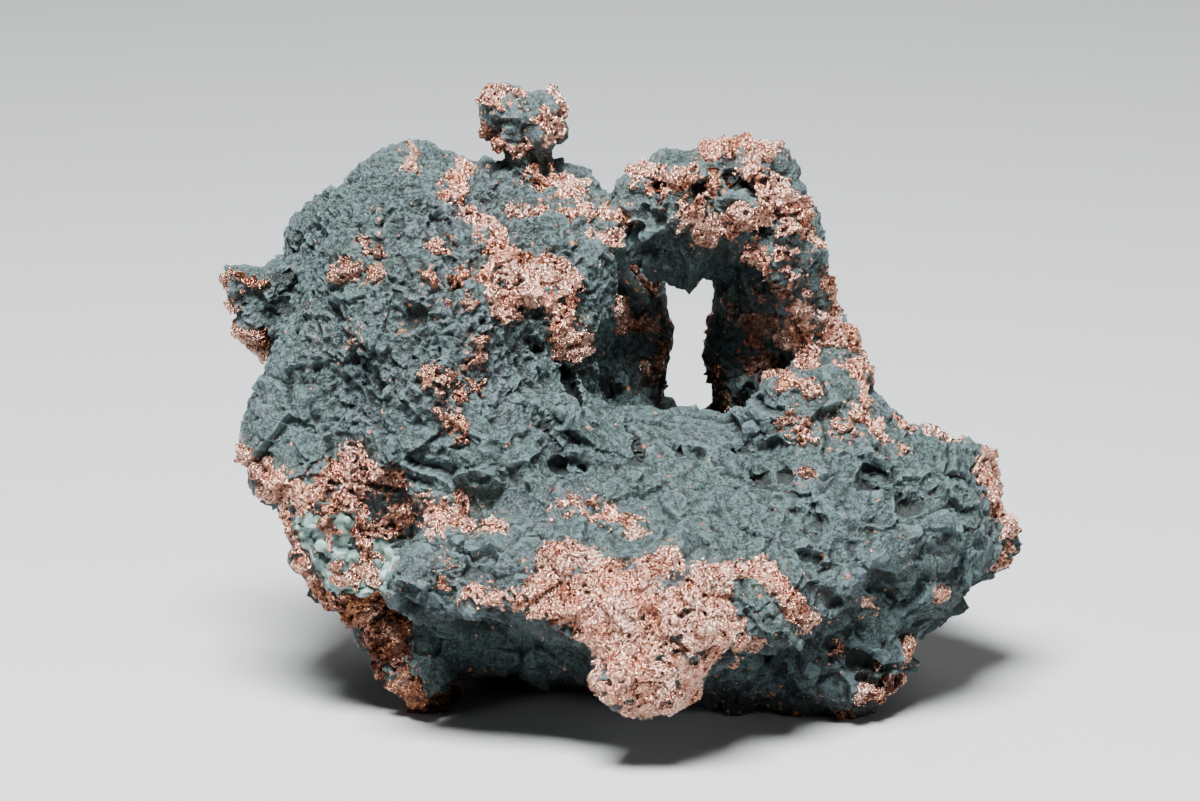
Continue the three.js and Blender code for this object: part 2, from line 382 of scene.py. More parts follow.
def coarse_relief(points, plated, hackly, calm):
    """Lumps and broken faces of several millimetres; plates in the sheared valley."""
    dome = dome_share(points)
    loose = warped(points, 3.0, 91, 0.6)
    lumps = layered(points, 6.0, 11, 2) * 0.5
    crests = ridged(points, 5.4, 61, 2) * 0.25
    broken = facets(loose, 4.2, 21) * 0.75 + facets(loose, 2.1, 23) * 0.33 * (1 - 0.5 * dome)
    plates = facets(loose @ SHEAR, 2.6, 71) * 1.0 + facets(loose @ SHEAR, 1.2, 73) * 0.3
    chunks = blocks(points, 2.7, 81) * 1.5 - 0.4 + facets(loose, 2.0, 83) * 0.3
    common = (crests + broken * (1 - 0.55 * calm)) * (1 - 0.62 * dome)
    forms = lumps + common * (1 - plated) * (1 - hackly) + plates * plated + chunks * hackly
    return forms * (1 - 0.65 * throat_share(points)) - 0.15


def fine_relief(points, plated):
    """Grain, chips and pits under about two millimetres."""
    dome = dome_share(points)
    chips = facets(warped(points, 1.2, 95, 0.3), 1.1, 31) * 0.19
    crumbs = blocks(points, 0.62, 35) * 0.32 - 0.15 + facets(points, 1.5, 37) * 0.3 * dome
    grain = layered(points, 0.5, 41, 2, 0.8) * 0.1
    pits = pores(points, 1.2, 51, 0.5) * 0.42
    rough = chips + (crumbs + grain) * (0.55 + 0.75 * dome)
    return rough * (1 - 0.3 * plated) - pits * (0.15 + 0.85 * dome)


# --- Copper places ------------------------------------------------------------------------------
# Each patch is a list of strokes, and each stroke is a list of (across, up, radius) in mm, seen
# along the viewing line: across and up are measured from the aim point, square to that line. The
# lists are given one by one, like a painter's marks, so that each form can be moved by itself.

CROWN = [
    [(-8.2, 22.9, 0.7), (-6.3, 22.8, 0.8)],
    [(-4.6, 21.2, 0.7), (-3.7, 20.3, 0.8)],
    [(-3.2, 22.6, 0.5), (-2.3, 21.6, 0.5), (-2.3, 20.8, 0.5)],
    [(-7.8, 19.2, 0.4), (-5.7, 19.1, 0.45)],
    [(-8.6, 21.1, 0.35), (-8.5, 20.1, 0.4)],
]
DOME_TOP = [
    [(-12.7, 20.4, 0.7), (-12.6, 20.0, 0.5)],
    [(-14.0, 18.8, 0.35), (-14.1, 17.5, 0.35)],
    [(-10.0, 17.9, 0.6), (-10.9, 16.6, 0.8), (-11.2, 15.5, 0.7)],
    [(-8.9, 18.4, 0.5), (-8.7, 18.3, 0.5)],
    [(-4.7, 16.8, 0.9), (-3.4, 16.6, 1.1), (-2.2, 16.0, 0.9), (-1.6, 15.5, 0.6)],
    [(-1.4, 16.8, 0.4), (-1.2, 16.6, 0.4)],
    [(-6.5, 14.6, 0.5), (-4.5, 14.4, 0.5)],
    [(-2.6, 14.4, 0.45), (-2.2, 14.2, 0.45)],
    [(-0.9, 14.8, 0.7), (0.6, 14.2, 0.9), (1.6, 13.6, 0.8)],
    [(-0.2, 12.6, 0.6), (1.2, 12.3, 0.7)],
    [(-9.6, 14.0, 0.5), (-8.6, 13.2, 0.8), (-8.0, 12.4, 1.0), (-7.3, 11.4, 0.8)],
]
DOME_FACE = [
    [(-7.2, 9.3, 1.6), (-5.8, 9.7, 1.6), (-4.4, 9.6, 1.5), (-3.2, 9.2, 1.2), (-2.6, 8.5, 1.0)],
    [(-7.2, 8.6, 1.2), (-7.3, 7.2, 0.9), (-7.0, 6.6, 0.7)],
    [(-5.6, 8.4, 1.3), (-5.2, 7.6, 0.6)],
    [(-3.2, 7.6, 0.9), (-2.8, 5.8, 0.9), (-2.1, 4.4, 1.4), (-1.3, 4.4, 1.1)],
    [(1.4, 7.5, 0.5), (1.6, 5.9, 0.6)],
]
DOME_SPARSE = [
    [(-9.5, 4.6, 0.3), (-8.6, 4.7, 0.3)],
    [(-10.9, 9.3, 0.35), (-9.9, 9.5, 0.4)],
    [(-11.6, 7.2, 0.3), (-9.8, 7.4, 0.35)],
    [(-12.8, 9.3, 0.45), (-12.4, 9.1, 0.45)],
    [(-19.6, 9.8, 0.7), (-18.2, 9.8, 0.8), (-17.2, 9.6, 0.5)],
    [(-17.4, 11.6, 0.5), (-17.0, 11.6, 0.5)],
    [(-12.1, 11.8, 0.6), (-11.7, 11.8, 0.6)],
    [(-12.6, 1.8, 0.8), (-12.0, 1.2, 0.9)],
    [(-9.2, 2.8, 0.5), (-9.8, 1.5, 0.7), (-10.6, 0.7, 0.6)],
    [(-18.3, 5.3, 0.3), (-18.3, 4.5, 0.3)],
    [(-11.5, -1.0, 0.5), (-10.8, -2.4, 0.5)],
    [(-25.6, 0.4, 0.5), (-26.1, -0.8, 0.6), (-26.4, -2.0, 0.6)],
]
LEFT_KNOB = [
    [(-27.9, 8.9, 0.5), (-26.6, 8.8, 0.5), (-25.4, 8.8, 0.4)],
    [(-27.9, 8.4, 0.4), (-27.6, 6.9, 0.5), (-27.0, 5.7, 0.5)],
    [(-26.6, 5.4, 0.8), (-25.8, 4.6, 1.0), (-25.3, 4.0, 0.8)],
    [(-23.8, 13.6, 0.4), (-23.0, 14.2, 0.5), (-22.3, 14.3, 0.4)],
]
ARCH = [
    [(2.6, 17.6, 0.7), (3.3, 17.1, 0.9), (3.6, 16.6, 0.7)],
    [(4.2, 20.0, 0.5), (5.4, 20.2, 0.4)],
    [(7.4, 19.4, 0.8), (8.6, 19.2, 0.9)],
    [(10.4, 19.3, 0.9), (11.8, 19.3, 1.0), (13.2, 18.9, 0.9)],
    [(11.6, 17.2, 0.9), (12.6, 16.6, 0.9), (13.4, 16.0, 0.7)],
    [(5.0, 16.9, 0.7), (6.4, 16.8, 0.8), (7.0, 17.3, 0.5)],
    [(8.5, 17.1, 0.3), (8.5, 15.0, 0.3)],
    [(7.0, 14.5, 0.9), (7.0, 13.0, 1.1), (7.6, 12.0, 0.9)],
    [(8.4, 13.0, 1.1), (9.3, 13.0, 0.9)],
    [(10.3, 13.9, 0.7), (11.8, 13.8, 0.8)],
    [(13.2, 14.4, 1.2), (14.4, 13.9, 1.5), (15.3, 13.4, 1.3), (15.9, 12.6, 0.8)],
    [(11.2, 10.9, 0.7), (12.6, 10.6, 0.9), (14.2, 10.3, 0.8)],
    [(15.0, 8.4, 0.6), (15.4, 7.4, 0.5)],
    [(16.9, 9.0, 0.4), (17.2, 7.5, 0.5), (17.3, 6.2, 0.4)],
    [(16.8, 5.8, 0.8), (18.0, 5.0, 1.0), (19.2, 4.4, 1.0), (19.6, 3.6, 0.7)],
    [(15.2, 6.2, 0.6), (15.6, 4.6, 0.8), (15.9, 3.0, 0.7)],
]
CAVE_SPARSE = [
    [(9.6, 6.4, 0.6), (11.4, 6.2, 1.0), (13.2, 5.2, 1.1), (14.6, 4.0, 0.9)],
    [(11.4, 4.4, 0.7), (13.0, 3.4, 0.8)],
    [(12.4, 8.4, 0.6), (14.2, 8.0, 0.7), (15.0, 6.6, 0.7)],
    [(2.6, 10.4, 0.6), (3.6, 8.6, 0.6)],
    [(3.0, 6.2, 0.7), (4.2, 5.6, 0.7), (4.6, 3.6, 0.8), (3.8, 2.0, 0.7)],
    [(8.6, 2.2, 0.5), (8.7, 0.8, 0.6), (9.4, 0.0, 0.5)],
]
RIGHT_TOP = [
    [(10.9, 2.8, 0.5), (12.4, 2.2, 0.7), (14.0, 1.8, 0.7)],
    [(14.0, 1.1, 0.5), (15.6, 0.8, 0.6)],
    [(18.1, 2.6, 0.7), (19.6, 2.2, 0.9), (20.8, 1.7, 0.7)],
    [(19.8, 1.2, 0.6), (20.0, -0.4, 0.4)],
    [(14.2, -1.8, 0.6), (15.6, -2.4, 0.7)],
    [(18.1, -2.3, 0.8), (18.5, -2.3, 0.8)],
    [(19.6, -1.0, 0.8), (20.8, -1.8, 0.9), (21.2, -2.4, 0.6)],
    [(22.5, -1.3, 0.4), (22.9, -1.9, 0.4)],
]
RIGHT_EDGE = [
    [(24.8, -2.6, 0.8), (26.4, -2.7, 1.0), (27.8, -3.6, 1.1), (28.8, -5.0, 1.1),
     (29.8, -6.4, 1.2), (30.6, -8.0, 1.2), (31.0, -9.6, 1.1), (30.8, -11.2, 1.0),
     (30.2, -12.4, 0.7)],
    [(25.2, -14.4, 0.4), (25.6, -14.4, 0.4)],
    [(20.1, -15.5, 0.35), (20.4, -15.5, 0.35)],
    [(17.6, -18.6, 0.4), (17.9, -18.8, 0.4)],
    [(15.3, -5.6, 0.25), (15.5, -5.6, 0.25)],
    [(22.4, -3.3, 0.3), (22.6, -3.3, 0.3)],
    [(23.2, -18.3, 0.5), (23.6, -19.4, 0.6)],
    [(19.8, -22.0, 0.6), (21.4, -22.0, 0.7), (22.8, -21.4, 0.6)],
    [(18.0, -23.6, 0.5), (19.0, -23.8, 0.5)],
]
SHELF = [
    [(-13.2, -8.3, 1.0), (-11.6, -8.8, 1.3), (-10.0, -9.0, 1.0), (-8.2, -9.4, 0.8),
     (-7.2, -9.6, 0.5)],
    [(-3.2, -8.0, 0.6), (-1.4, -7.7, 0.8), (0.4, -8.2, 0.9), (2.0, -9.0, 0.8), (2.6, -9.6, 0.5)],
    [(-10.3, -14.4, 0.5), (-8.6, -14.7, 0.7), (-6.6, -14.9, 0.7)],
    [(-11.7, -12.2, 0.3), (-11.7, -13.6, 0.3)],
]
FRONT = [
    [(-5.8, -15.4, 0.7), (-4.6, -14.8, 1.1), (-3.6, -13.4, 1.4), (-2.9, -12.0, 1.3),
     (-1.6, -11.6, 0.8)],
    [(-0.6, -12.4, 0.9), (0.8, -12.9, 1.0)],
    [(-3.4, -15.0, 1.4), (-2.0, -14.8, 1.9), (0.0, -14.8, 1.9), (2.2, -14.4, 1.9),
     (3.6, -12.8, 1.3), (5.0, -11.9, 0.9), (6.0, -12.2, 0.5)],
    [(-0.6, -16.8, 1.4), (0.4, -17.2, 2.0), (2.6, -17.2, 2.4), (5.4, -16.8, 2.3),
     (7.8, -16.0, 2.2), (9.4, -15.4, 1.4)],
    [(0.2, -19.4, 1.4), (1.0, -21.0, 1.3), (2.2, -22.4, 1.2)],
    [(1.8, -19.4, 2.0), (3.0, -20.8, 2.2), (4.2, -22.6, 1.7)],
    [(5.4, -20.6, 2.0), (7.2, -19.0, 2.1), (8.8, -17.6, 1.7), (9.6, -16.4, 1.2)],
    [(4.4, -22.4, 1.9), (6.0, -21.6, 1.4)],
    [(7.4, -13.6, 1.2), (8.6, -12.9, 1.0), (9.4, -14.0, 1.0)],
    [(7.6, -12.4, 0.7), (10.4, -12.4, 0.7), (12.8, -12.6, 0.6)],
    [(12.0, -12.4, 0.6), (13.0, -13.6, 0.8), (14.2, -15.2, 0.9), (15.6, -16.4, 0.8),
     (16.3, -17.0, 0.5)],
    [(10.6, -17.2, 0.5), (10.6, -18.8, 0.8), (12.0, -18.2, 0.6)],
]
LEG_TOP = [
    [(-26.4, -3.6, 0.8), (-25.6, -5.0, 1.2), (-24.4, -6.2, 1.3), (-23.0, -6.8, 1.2),
     (-22.0, -7.6, 1.0)],
    [(-18.6, -3.8, 0.8), (-19.0, -5.2, 1.0), (-20.4, -6.2, 1.1), (-21.2, -7.0, 0.9),
     (-19.2, -7.2, 1.0), (-18.0, -6.2, 0.9)],
    [(-20.4, -7.4, 0.8), (-18.6, -7.8, 0.7)],
    [(-16.8, -5.6, 0.9), (-15.2, -6.4, 0.9), (-14.8, -8.0, 0.8), (-16.0, -9.4, 0.9)],
    [(-18.2, -8.8, 0.7), (-17.6, -10.2, 0.7), (-17.2, -11.8, 0.7), (-16.4, -13.6, 0.7)],
    [(-21.0, -8.6, 0.4), (-20.2, -10.0, 0.4), (-19.6, -10.6, 0.3)],
    [(-20.0, -12.2, 0.3), (-19.0, -12.6, 0.4), (-18.2, -12.2, 0.3)],
    [(-23.6, -8.2, 0.6), (-23.4, -10.0, 0.8), (-22.2, -12.2, 0.7), (-21.0, -13.8, 0.6)],
]
LEG = [
    [(-20.2, -14.8, 0.9), (-18.8, -14.8, 1.2), (-17.0, -15.0, 1.4), (-15.6, -15.4, 1.1)],
    [(-18.6, -16.4, 1.3), (-17.0, -16.8, 1.5), (-15.2, -17.0, 1.3)],
    [(-17.6, -18.4, 1.3), (-16.0, -18.8, 1.3), (-15.2, -18.8, 1.0)],
    [(-16.6, -20.0, 1.1), (-15.6, -20.8, 1.2), (-14.6, -21.6, 1.2)],
    [(-15.4, -22.4, 1.1), (-13.6, -23.0, 1.2), (-11.8, -23.6, 1.1), (-10.4, -24.0, 0.8)],
]
MINERAL = [
    [(-22.0, -8.8, 0.9), (-21.4, -10.0, 1.2), (-20.4, -11.2, 1.4), (-19.2, -12.6, 1.3),
     (-18.2, -13.9, 1.0)],
    [(-19.8, -8.9, 0.6), (-19.0, -9.8, 0.8)],
    [(-16.6, -11.0, 0.8), (-15.8, -12.4, 0.9), (-15.6, -13.4, 0.6)],
    [(-18.2, -8.6, 0.3), (-17.4, -9.0, 0.4)],
]
# Forms carved into the skin, or raised where the depth is below 0: (across, up, radius, depth).
HOLLOWS = [
    # the dark gap between the dome and the arch's tip, and the crown knob's two shoulders
    [(0.8, 15.0, 0.7, 1.1), (1.6, 13.8, 0.9, 2.2), (2.4, 12.4, 1.0, 2.9), (3.1, 10.2, 1.0, 2.6)],
    [(-7.6, 22.7, 2.0, -0.8), (-3.7, 22.2, 2.0, -0.8)],
    # the arch's head
    [(4.9, 16.6, 0.8, 1.2), (5.8, 16.1, 1.1, 1.9), (6.6, 16.3, 0.9, 1.6), (7.5, 15.8, 1.0, 1.6)],
    [(8.2, 15.2, 0.7, 1.0), (7.7, 14.2, 0.6, 0.8)],
    [(9.7, 17.1, 0.7, 0.9), (10.5, 16.4, 1.0, 1.3), (11.4, 16.2, 0.7, 1.0), (11.7, 15.4, 0.6, 0.8)],
    [(11.9, 12.6, 0.9, 1.2), (12.8, 12.0, 1.0, 1.4), (13.6, 11.6, 0.6, 1.0)],
    [(3.2, 14.4, 0.9, 0.7), (4.4, 13.4, 1.1, 0.9)],
    [(9.9, 19.0, 0.6, 0.8), (9.6, 18.2, 0.6, 0.7)],
    # the gap between the left knob and the dome
    [(-23.9, 9.8, 1.1, 1.4), (-23.8, 8.0, 1.2, 1.6), (-23.8, 6.0, 1.0, 1.3)],
    [(-25.0, 11.8, 1.3, 1.0), (-24.0, 11.6, 1.0, 0.9)],
    # the dome
    [(-5.9, 7.1, 0.9, 0.9), (-4.7, 7.0, 0.9, 0.9)],
    [(-15.6, 6.8, 1.5, 0.8), (-14.4, 6.0, 1.4, 0.8)],
    [(-14.4, 0.0, 1.0, 0.6), (-13.6, 0.0, 1.0, 0.6)],
    [(-17.6, 2.6, 1.3, 0.6), (-16.6, 1.4, 1.3, 0.6)],
    [(-11.0, 11.0, 1.2, 0.6), (-10.2, 10.4, 1.2, 0.6)],
    [(-20.4, 6.4, 1.3, 0.7), (-19.4, 5.2, 1.1, 0.6)],
    [(-6.4, 0.4, 1.1, 0.6), (-7.2, -0.8, 1.2, 0.6)],
    # sheared plates in the valley, and the undercuts below their edges
    [(-0.6, 3.0, 1.1, -0.6), (0.9, 1.6, 1.2, -0.7), (2.2, 0.0, 1.2, -0.6)],
    [(-2.6, 2.8, 0.7, 0.8), (-1.9, 0.6, 0.9, 1.0), (-0.8, -1.4, 0.9, 1.2), (0.5, -2.5, 0.7, 0.9)],
    [(-4.9, -1.0, 0.7, 0.8), (-3.7, -2.3, 0.9, 1.0), (-2.4, -3.4, 0.7, 0.7)],
    [(-4.6, -3.4, 0.7, 0.7), (-2.8, -4.3, 0.8, 0.9), (-1.2, -4.9, 0.6, 0.7)],
    [(-5.9, -0.2, 0.8, -0.5), (-4.2, -0.8, 0.9, -0.6), (-2.4, -1.7, 0.9, -0.6)],
    [(0.0, 2.3, 0.3, 0.5), (1.5, -1.1, 0.35, 0.5), (3.4, -3.7, 0.3, 0.4)],
    # the long crack across the valley's foot
    [(0.0, -4.7, 0.3, 0.4), (3.0, -4.3, 0.3, 0.5), (4.9, -3.6, 0.35, 0.6), (7.1, -3.5, 0.3, 0.6),
     (8.4, -3.9, 0.3, 0.5)],
    [(8.9, -3.7, 0.45, 1.0), (10.3, -3.3, 0.5, 1.2), (10.9, -3.0, 0.35, 0.7)],
    [(10.0, -2.3, 0.9, -0.6), (11.8, -2.5, 1.0, -0.6)],
    # the right-hand mass
    [(11.8, -5.4, 0.8, 0.9), (12.4, -6.0, 0.8, 0.9)],
    [(20.1, -3.9, 1.4, -0.8), (21.6, -4.3, 1.4, -0.7)],
    [(20.3, -5.0, 1.1, 1.2), (21.0, -6.1, 1.2, 1.4), (22.2, -7.2, 1.2, 1.2), (23.6, -7.5, 1.1, 0.8)],
    [(23.4, -9.4, 1.8, -0.7), (26.4, -10.4, 1.8, -0.6)],
    [(13.6, -5.8, 1.2, 0.6), (15.0, -6.9, 1.3, 0.8), (16.4, -9.0, 1.3, 0.9), (15.4, -9.9, 1.2, 0.8)],
    [(17.6, -7.4, 1.7, -0.6), (19.2, -9.4, 1.7, -0.7), (20.2, -11.4, 1.5, -0.6)],
    [(16.4, -14.6, 0.9, 0.4), (18.4, -15.6, 1.2, 0.6), (19.4, -16.8, 0.8, 0.4)],
    [(20.8, -12.9, 1.2, 0.8), (21.8, -15.0, 1.3, 1.0), (22.9, -17.8, 1.2, 0.9)],
    [(24.4, -13.6, 1.5, 0.8), (26.4, -13.2, 1.2, 0.7)],
    [(17.6, -18.4, 0.8, 0.5), (19.6, -19.4, 1.3, 0.8), (21.0, -19.9, 0.8, 0.5)],
    [(19.2, -21.2, 0.6, 0.8), (21.0, -21.4, 0.7, 0.9), (22.8, -21.5, 0.6, 0.8)],
    # the lip under it, and the dark recess behind that
    [(12.6, -16.4, 0.9, -0.7), (14.8, -18.0, 1.0, -0.9), (15.9, -20.2, 0.9, -0.8)],
    [(11.6, -18.6, 1.4, 1.4), (13.2, -20.2, 1.6, 1.7), (14.2, -21.6, 1.2, 1.2)],
    # the shelf
    [(-12.6, -10.6, 1.2, 0.6), (-10.4, -11.2, 1.2, 0.6)],
    [(-6.2, -10.4, 1.0, 0.6), (-4.6, -10.0, 1.0, 0.6)],
    [(-11.6, -12.4, 1.4, -0.5), (-8.0, -12.6, 1.4, -0.5)],
    # the front lump
    [(5.9, -12.8, 0.9, 0.8), (6.8, -13.2, 0.9, 0.9)],
    [(-3.6, -16.4, 0.9, 0.8), (-1.8, -17.2, 1.0, 1.0)],
]
# Thin forms drawn in on all sides: (across, up, radius, share).
PINCHED = [
    [(-24.9, 12.2, 1.6, 0.3), (-25.6, 11.4, 1.4, 0.25)],
    [(-27.0, 2.0, 2.4, 0.15), (-27.0, -2.0, 2.4, 0.15)],
]
# Areas of a different make: sheared plates in the valley, hackly chunks round the arch and on the
# knobs, and the calmer slope of the shelf.
PLATED = [
    [(-3.5, 3.0, 2.4), (-2.4, -1.0, 3.4), (1.0, -2.6, 3.0), (3.4, -3.4, 2.0)],
    [(3.5, -2.6, 2.0), (8.0, -3.4, 2.0)],
]
CALM = [
    [(-6.0, -9.0, 3.0), (2.0, -6.6, 3.4), (9.0, -8.0, 3.6), (13.0, -10.0, 2.4)],
    [(0.0, -14.8, 3.0), (3.0, -17.0, 4.0), (6.0, -18.0, 4.0)],
    [(14.4, -4.6, 2.4), (17.6, -8.6, 3.2), (22.6, -11.6, 3.6), (18.6, -15.0, 3.0)],
]
HACKLY = [
    [(2.4, 16.6, 3.4), (6.4, 17.0, 4.2), (11.4, 16.6, 4.4), (14.4, 13.6, 4.0), (15.6, 9.0, 3.4)],
    [(16.6, 6.6, 2.4), (18.6, 4.4, 2.2)],
    [(-7.0, 21.6, 3.4), (-4.4, 21.4, 3.4)],
    [(-26.6, 8.0, 3.2), (-25.6, 5.0, 2.4)],
]


def beads(strokes, tree, spacing=0.3, with_depth=False):
    """Balls (x, y, z, radius) in mm along the strokes, each where its sight line meets the skin."""
    found = []
    depths = []
    for stroke in strokes:
        stroke = np.array(stroke)
        for start, end in zip(stroke, stroke[1:]):
            count = max(2, int(np.linalg.norm(end[:2] - start[:2]) / spacing) + 1)
            for share in np.linspace(0, 1, count):
                at = start + (end - start) * share
                way = AIM + ACROSS * at[0] + UPWARD * at[1] - EYE
                hit = tree.ray_cast(Vector(EYE), Vector(way).normalized())[0]
                if hit is not None:
                    found.append((*hit, at[2]))
                    depths.append(at[-1])
    return (np.array(found), depths) if with_depth else np.array(found)


def hidden_from_front(spot, facing, tree):
    """True where a spot, and all that lies near it, is out of sight from the front."""
    if facing @ AHEAD > 0.35:
        return True
    for right, up in ((0, 0), (2, 0), (-2, 0), (0, 2), (0, -2)):
        away = Vector(spot + ACROSS * right + UPWARD * up - EYE)
        hit = tree.ray_cast(Vector(EYE), away.normalized())[0]
        if hit is None or (hit - Vector(EYE)).length > away.length - 2:
            return False
    return True


def hidden_beads(skin, count, seed):
    """Balls for small patches on the back, the sides, the top and the underside."""
    dice = np.random.default_rng(seed)
    found = []
    while len(found) < count:
        pick = dice.integers(len(skin["points"]))
        spot, facing = skin["points"][pick], skin["normals"][pick]
        drift = np.cross(facing, dice.normal(size=3))
        size = dice.uniform(0.5, 1.5)
        for _ in range(dice.integers(2, 7)):
            if not hidden_from_front(spot, facing, skin["tree"]):
                break
            found.append((*spot, size))
            drift = drift / np.linalg.norm(drift) + dice.normal(size=3) * 0.5
            close, facing, _, _ = skin["tree"].find_nearest(Vector(spot + drift * size * 0.8))
            spot, facing = np.array(close), np.array(facing)
            size = np.clip(size * dice.uniform(0.75, 1.25), 0.4, 1.7)
    return np.array(found)


def cover(points, balls):
    """How far each point lies inside the nearest ball's edge, in mm; below 0 is outside."""
    margin = 1.5
    best = np.full(len(points), -margin)
    order = np.argsort(points[:, 0])
    line = points[order, 0]
    for x, y, z, radius in balls:
        reach = radius + margin
        first, last = np.searchsorted(line, (x - reach, x + reach))
        near = order[first:last]
        far = np.linalg.norm(points[near] - (x, y, z), axis=1)
        best[near] = np.maximum(best[near], radius - far)
    return best


# --- Materials ----------------------------------------------------------------------------------


def feed(tree, value, socket):
    """Links a socket, or sets a number or colour, into an input."""
    if isinstance(value, bpy.types.NodeSocket):
        tree.links.new(value, socket)
    elif value is not None:
        socket.default_value = value


def calc(tree, operation, first, second=None, third=None):
    made = tree.nodes.new("ShaderNodeMath")
    made.operation = operation
    for value, socket in zip((first, second, third), made.inputs):
        feed(tree, value, socket)
    return made.outputs[0]


def vector_calc(tree, operation, first, second=None):
    made = tree.nodes.new("ShaderNodeVectorMath")
    made.operation = operation
    feed(tree, first, made.inputs[0])
    feed(tree, second, made.inputs[1])
    return made.outputs[0]


def scaled(tree, vector, amount):
    made = tree.nodes.new("ShaderNodeVectorMath")
    made.operation = "SCALE"
    feed(tree, vector, made.inputs[0])
    feed(tree, amount, made.inputs["Scale"])
    return made.outputs[0]


def noise(tree, place, scale, detail=3.0, roughness=0.55, distortion=0.0):
    made = tree.nodes.new("ShaderNodeTexNoise")
    feed(tree, place, made.inputs["Vector"])
    feed(tree, scale, made.inputs["Scale"])
    feed(tree, detail, made.inputs["Detail"])
    feed(tree, roughness, made.inputs["Roughness"])
    feed(tree, distortion, made.inputs["Distortion"])
    return made.outputs[0]


def crackle(tree, place, scale):
    made = tree.nodes.new("ShaderNodeTexVoronoi")
    feed(tree, place, made.inputs["Vector"])
    feed(tree, scale, made.inputs["Scale"])
    return made


def between(tree, value, low, high, to_low=0.0, to_high=1.0):
    """Eased steps from to_low where the value is low to to_high where it is high."""
    made = tree.nodes.new("ShaderNodeMapRange")
    made.interpolation_type = "SMOOTHSTEP"
    for given, socket in zip((value, low, high, to_low, to_high), made.inputs):
        feed(tree, given, socket)
    return made.outputs[0]


def blend(tree, share, first, second):
    """From the first colour at share 0, or below, to the second at share 1."""
    made = tree.nodes.new("ShaderNodeMix")
    made.data_type = "RGBA"
    feed(tree, share, made.inputs[0])
    feed(tree, first, made.inputs[6])
    feed(tree, second, made.inputs[7])
    return made.outputs[2]


def bump(tree, height, strength, distance, normal=None):
    made = tree.nodes.new("ShaderNodeBump")
    feed(tree, height, made.inputs["Height"])
    made.inputs["Strength"].default_value = strength
    made.inputs["Distance"].default_value = distance
    feed(tree, normal, made.inputs["Normal"])
    return made.outputs[0]


def joined(tree, value):
    """One value as all three parts of a vector."""
    made = tree.nodes.new("ShaderNodeCombineXYZ")
    for socket in made.inputs:
        feed(tree, value, socket)
    return made.outputs[0]


def tone(tree, name):
    """A value that the mesh carries at each of its points."""
    made = tree.nodes.new("ShaderNodeAttribute")
    made.attribute_name = name
    return made.outputs["Fac"]


def millimetres(tree):
    """Object coordinates in mm, so that a texture's scale is one over its grain size."""
    place = tree.nodes.new("ShaderNodeTexCoord").outputs["Object"]
    return scaled(tree, place, 1 / MM)


def new_group(name, inputs, outputs):
    """An empty shader node group with the named sockets, and its two ends."""
    tree = bpy.data.node_groups.new(name, "ShaderNodeTree")
    for label, kind, value in inputs:
        socket = tree.interface.new_socket(label, in_out="INPUT", socket_type=kind)
        if value is not None:
            socket.default_value = value
    for label, kind in outputs:
        tree.interface.new_socket(label, in_out="OUTPUT", socket_type=kind)
    return tree, tree.nodes.new("NodeGroupInput").outputs, tree.nodes.new("NodeGroupOutput").inputs


FLOAT = "NodeSocketFloat"
VECTOR = "NodeSocketVector"


def grit_group():
    """Height of a gritty surface: soft lumps and crumbs, with pores sunk in it."""
    tree, given, out = new_group(
        "grit",
        [("Place", VECTOR, None), ("Size", FLOAT, 0.5), ("Pores", FLOAT, 0.5)],
        [("Height", FLOAT), ("Pore", FLOAT), ("Lump", FLOAT)])
    scale = calc(tree, "DIVIDE", 1.0, given["Size"])
    lumps = noise(tree, given["Place"], scale, 7.0, 0.66, 0.3)
    bent = noise(tree, given["Place"], calc(tree, "MULTIPLY", scale, 1.7), 2.0)
    place = vector_calc(tree, "ADD", given["Place"],
                        scaled(tree, joined(tree, bent),
                               calc(tree, "MULTIPLY", given["Size"], 0.9)))
    dots = crackle(tree, place, calc(tree, "MULTIPLY", scale, 1.5)).outputs["Distance"]
    reach = calc(tree, "MULTIPLY", given["Pores"], 0.62)
    near = calc(tree, "DIVIDE", dots, calc(tree, "ADD", reach, 0.001))
    pore = between(tree, near, 1.0, 0.45)
    feed(tree, pore, out["Pore"])
    feed(tree, lumps, out["Lump"])
    sunk = calc(tree, "MULTIPLY", pore, 0.6)
    feed(tree, calc(tree, "SUBTRACT", lumps, sunk), out["Height"])
    return tree


def fleck_group():
    """A mask of small ragged specks, in the given share of the cells."""
    tree, given, out = new_group(
        "flecks",
        [("Place", VECTOR, None), ("Size", FLOAT, 0.4), ("Share", FLOAT, 0.1)],
        [("Mask", FLOAT)])
    scale = calc(tree, "DIVIDE", 1.0, given["Size"])
    cells = crackle(tree, given["Place"], scale)
    parts = tree.nodes.new("ShaderNodeSeparateColor")
    feed(tree, cells.outputs["Color"], parts.inputs[0])
    chosen = calc(tree, "LESS_THAN", parts.outputs[0], given["Share"])
    ragged = noise(tree, given["Place"], calc(tree, "MULTIPLY", scale, 2.2), 4.0, 0.75)
    edge = calc(tree, "ADD", cells.outputs["Distance"], calc(tree, "MULTIPLY", ragged, 1.7))
    speck = between(tree, edge, 1.22, 1.12)
    feed(tree, calc(tree, "MULTIPLY", chosen, speck), out["Mask"])
    return tree


